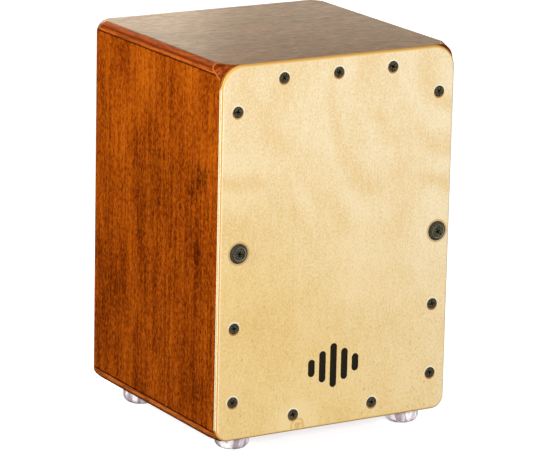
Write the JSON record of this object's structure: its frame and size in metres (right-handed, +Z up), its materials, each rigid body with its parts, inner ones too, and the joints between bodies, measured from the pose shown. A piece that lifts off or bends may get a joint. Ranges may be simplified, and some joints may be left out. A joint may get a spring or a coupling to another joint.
{
  "type": "cajon",
  "caption": "Small upright box drum: stained plywood box, screwed-on pale playing plate, round rear sound hole, inner snare bar and clear feet.",
  "frame": {"origin": "on the floor, under the middle of the whole object, in the plane of the feet", "axes": "+Z up, -Y towards the player's side (the tapa), +X to the right seen from that side"},
  "size_m": [0.222, 0.218, 0.3279],
  "materials": {
    "stained_birch": "clear satin lacquer over brown stain",
    "back_ply": "brown stained plywood under satin lacquer",
    "tapa_birch": "natural birch, clear satin lacquer",
    "batten_pine": "planed, unfinished",
    "black_screw": "black zinc",
    "black_washer": "satin black",
    "zinc_steel": "bright zinc",
    "brass": "dull",
    "snare_wire": "drawn wire",
    "print_ink": "flat black screen print",
    "clear_foot": "clear soft plastic"
  },
  "bodies": {
    "box": {"top_panel": "stained_birch", "bottom_panel": "stained_birch", "left_side_panel": "stained_birch", "right_side_panel": "stained_birch", "back_panel": "back_ply", "tapa": "tapa_birch", "front_batten_left": "batten_pine", "front_batten_right": "batten_pine", "front_batten_bottom": "batten_pine", "front_batten_top": "batten_pine", "rear_batten_left": "batten_pine", "rear_batten_right": "batten_pine", "rear_batten_bottom": "batten_pine", "rear_batten_top": "batten_pine", "tapa_screws": "black_screw", "cup_washer_left": "black_washer", "cup_washer_right": "black_washer", "foot_front_left": "clear_foot", "foot_front_right": "clear_foot", "foot_rear_left": "clear_foot", "foot_rear_right": "clear_foot", "foot_washers": "zinc_steel", "foot_screws": "zinc_steel"},
    "snare_carriage": {"snare_bar": "batten_pine", "threaded_insert_left": "zinc_steel", "threaded_insert_right": "zinc_steel", "snare_block_left": "batten_pine", "snare_block_right": "batten_pine", "snare_plate_left": "brass", "snare_plate_right": "brass", "snare_plate_screws": "zinc_steel", "snare_strands_left": "snare_wire", "snare_strands_right": "snare_wire", "snare_strip_left": "brass", "snare_strip_right": "brass"},
    "snare_screw_left": {"snare_screw_left": "black_screw"},
    "snare_screw_right": {"snare_screw_right": "black_screw"}
  },
  "joints": [
    {"name": "snare_slide", "type": "slide", "parent": "box", "child": "snare_carriage", "axis": [0, 1, 0], "range_m": [0, 0.0024]},
    {"name": "snare_screw_turn_left", "type": "hinge", "parent": "box", "child": "snare_screw_left", "pos_m": [-0.0929, -0.1066, 0.1721], "axis": [0, -1, 0], "range_deg": [0, 1080]},
    {"name": "snare_screw_turn_right", "type": "hinge", "parent": "box", "child": "snare_screw_right", "pos_m": [0.0983, -0.1066, 0.1696], "axis": [0, -1, 0], "range_deg": [0, 1080]}
  ],
  "couplings": [
    {"joint": "snare_screw_turn_left", "follows": "snare_slide", "rad_per_m": 7854},
    {"joint": "snare_screw_turn_right", "follows": "snare_slide", "rad_per_m": 7854}
  ]
}
